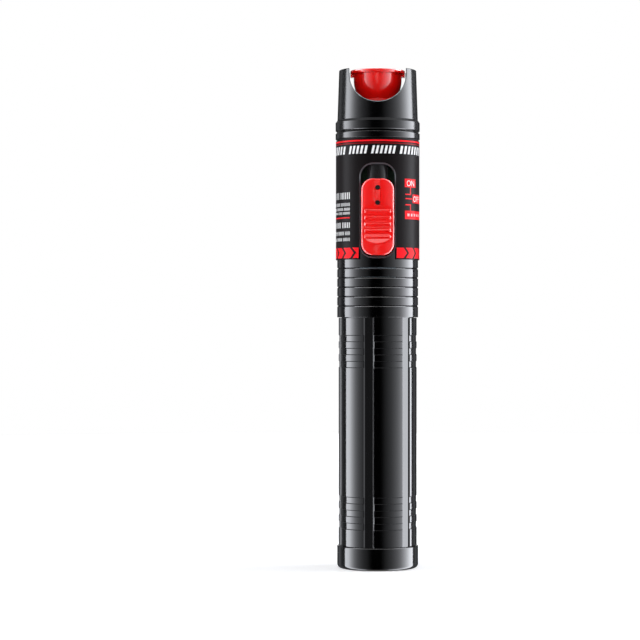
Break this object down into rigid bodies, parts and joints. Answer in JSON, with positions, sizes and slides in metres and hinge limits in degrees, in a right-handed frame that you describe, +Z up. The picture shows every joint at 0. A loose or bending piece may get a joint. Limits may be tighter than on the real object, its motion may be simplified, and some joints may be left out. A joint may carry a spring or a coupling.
{
  "type": "visual fault locator",
  "caption": "Pen-shaped red laser source for fibre tracing: slide switch, ferrule port under a pull-off dust cap, screw-off tail cap.",
  "frame": {"origin": "centre of the flat base of the tail cap, where the pen stands upright", "axes": "+Z up the pen's axis towards the fibre port, -Y towards the slide button, +X to the right seen from the button side"},
  "size_m": [0.0262, 0.0271, 0.1546],
  "materials": {
    "black_metal": "smooth glossy black",
    "label": "satin black print film",
    "button_plastic": "glossy red",
    "cap_plastic": "glossy red",
    "black_plastic": "glossy black",
    "inner_plastic": "plain moulded",
    "seal": "matt",
    "contact_metal": "bright nickel plate",
    "spring_metal": "bright nickel plate",
    "cell_jacket": "plain grey jacket",
    "switch_shell": "tinned",
    "board": "green solder mask",
    "capacitor_can": "bright",
    "brass": "turned",
    "lens_glass": "clear",
    "port_metal": "nickel plated",
    "white_ceramic": "ground"
  },
  "bodies": {
    "pen": {"battery_tube": "black_metal", "cell_holder": "inner_plastic", "lower_cell": "cell_jacket", "upper_cell": "cell_jacket", "positive_contact": "contact_metal", "switch_housing": "black_metal", "label_sleeve": "label", "switch_body": "switch_shell", "laser_cradle": "inner_plastic", "circuit_board": "board", "driver_chip": "black_plastic", "capacitor": "capacitor_can", "resistors": "black_plastic", "ground_leaf": "contact_metal", "laser_barrel": "brass", "laser_diode": "contact_metal", "collimating_lens": "lens_glass", "lens_lock_ring": "brass", "fibre_port": "port_metal", "ferrule_sleeve": "white_ceramic", "port_nut": "port_metal", "head_cap": "black_metal"},
    "switch_slider": {"slide_button": "button_plastic", "slide_carrier": "black_plastic", "switch_knob": "black_plastic"},
    "dust_cap": {"dust_cap": "cap_plastic"},
    "tail_cap": {"tail_cap": "black_metal", "tail_seal": "seal", "tail_contact_plate": "contact_metal", "tail_spring": "spring_metal"}
  },
  "joints": [
    {"name": "button_slide", "type": "slide", "parent": "pen", "child": "switch_slider", "axis": [0, 0, 1], "range_m": [0, 0.004]},
    {"name": "dust_cap_pull", "type": "slide", "parent": "pen", "child": "dust_cap", "axis": [0, 0, 1], "range_m": [0, 0.04]},
    {"name": "tail_cap_removal", "type": "slide", "parent": "pen", "child": "tail_cap", "axis": [0, 0, -1], "range_m": [0, 0.02]}
  ]
}
